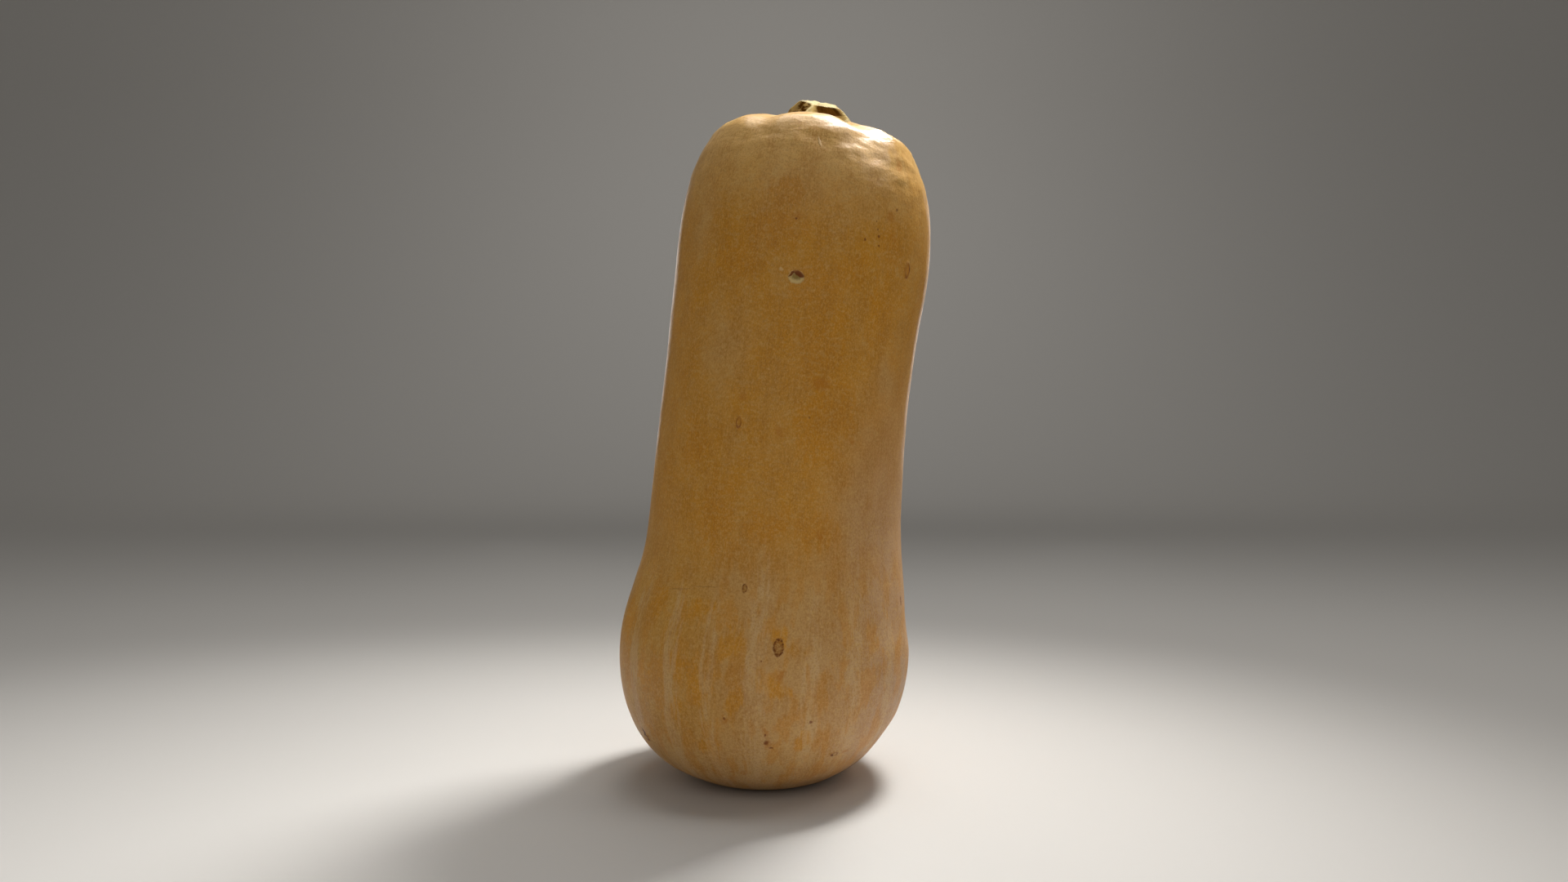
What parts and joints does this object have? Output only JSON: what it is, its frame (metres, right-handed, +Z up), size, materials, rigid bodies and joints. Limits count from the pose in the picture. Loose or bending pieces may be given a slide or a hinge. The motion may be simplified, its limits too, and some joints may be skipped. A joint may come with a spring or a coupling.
{
  "type": "butternut squash",
  "caption": "Whole butternut squash with a long thick neck, a slightly wider seed bulb and a short cut woody stem, standing on its blossom end.",
  "frame": {"origin": "middle of the bounding box on the surface that the fruit stands on, just right of the middle of its standing ring", "axes": "+Z up from the blossom end to the stem; +X towards the side that the neck leans to; -Y towards the front, the side with the gouge"},
  "size_m": [0.115, 0.1077, 0.2544],
  "materials": {
    "rind": "waxy satin rind, tan to ochre with pale streaks",
    "stem": "dry corky bark, matt"
  },
  "bodies": {
    "root": {"squash_fruit": "rind", "stem_stub": "stem"}
  },
  "joints": []
}
